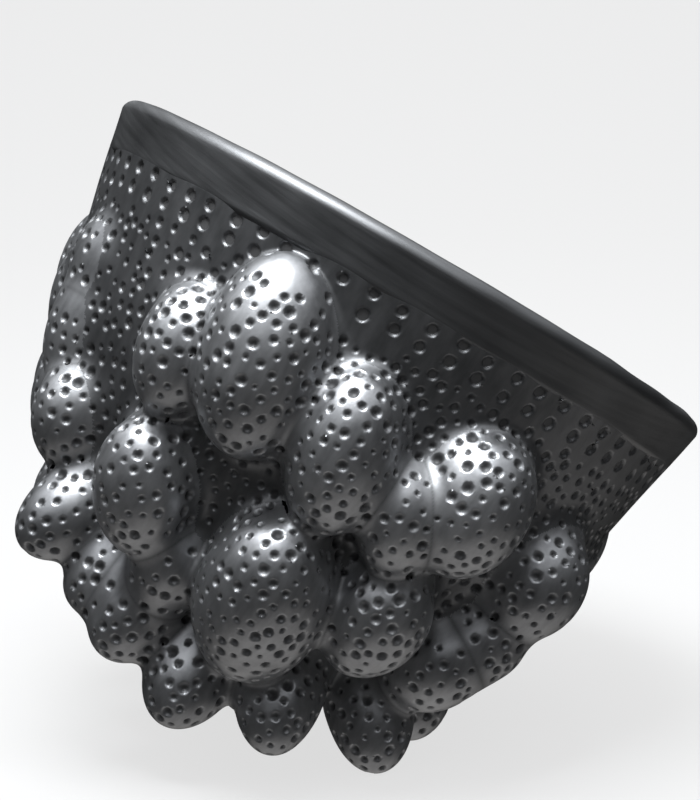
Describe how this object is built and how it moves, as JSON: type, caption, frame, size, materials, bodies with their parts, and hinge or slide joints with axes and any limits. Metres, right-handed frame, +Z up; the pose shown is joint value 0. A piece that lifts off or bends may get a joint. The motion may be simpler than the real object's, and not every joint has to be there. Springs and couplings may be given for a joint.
{
  "type": "barro negro clay pot",
  "caption": "Round-bottomed black clay bowl with a plain burnished rim band, covered outside in rounded hollow bosses, lying tipped over at rest on three of them.",
  "frame": {"origin": "on the floor under the middle of the pot's bounding box, as it rests on its three standing bosses", "axes": "+Z up from the floor; -Y is the side seen in the picture; the mouth tips 32 degrees from +Z, mostly towards +X"},
  "size_m": [0.2612, 0.2748, 0.2466],
  "materials": {
    "rim_clay": "hand burnished satin, unglazed black earthenware",
    "wall_clay": "burnished outside with pressed pits, smoked matt inside",
    "boss_clay": "burnished graphite sheen with pressed pits"
  },
  "bodies": {
    "root": {"base_boss_1": "boss_clay", "base_boss_2": "boss_clay", "base_boss_3": "boss_clay", "base_boss_4": "boss_clay", "base_dish": "wall_clay", "foot_boss_front": "boss_clay", "foot_boss_left": "boss_clay", "foot_boss_right": "boss_clay", "lower_boss_1": "boss_clay", "lower_boss_10": "boss_clay", "lower_boss_2": "boss_clay", "lower_boss_3": "boss_clay", "lower_boss_4": "boss_clay", "lower_boss_5": "boss_clay", "lower_boss_6": "boss_clay", "lower_boss_7": "boss_clay", "lower_boss_8": "boss_clay", "lower_boss_9": "boss_clay", "lower_wall": "wall_clay", "middle_boss_1": "boss_clay", "middle_boss_10": "boss_clay", "middle_boss_11": "boss_clay", "middle_boss_12": "boss_clay", "middle_boss_13": "boss_clay", "middle_boss_14": "boss_clay", "middle_boss_15": "boss_clay", "middle_boss_2": "boss_clay", "middle_boss_3": "boss_clay", "middle_boss_4": "boss_clay", "middle_boss_5": "boss_clay", "middle_boss_6": "boss_clay", "middle_boss_7": "boss_clay", "middle_boss_8": "boss_clay", "middle_boss_9": "boss_clay", "rim_band": "rim_clay", "shoulder_boss_1": "boss_clay", "shoulder_boss_10": "boss_clay", "shoulder_boss_11": "boss_clay", "shoulder_boss_12": "boss_clay", "shoulder_boss_13": "boss_clay", "shoulder_boss_14": "boss_clay", "shoulder_boss_15": "boss_clay", "shoulder_boss_16": "boss_clay", "shoulder_boss_17": "boss_clay", "shoulder_boss_18": "boss_clay", "shoulder_boss_19": "boss_clay", "shoulder_boss_2": "boss_clay", "shoulder_boss_3": "boss_clay", "shoulder_boss_4": "boss_clay", "shoulder_boss_5": "boss_clay", "shoulder_boss_6": "boss_clay", "shoulder_boss_7": "boss_clay", "shoulder_boss_8": "boss_clay", "shoulder_boss_9": "boss_clay", "upper_wall": "wall_clay"}
  },
  "joints": []
}
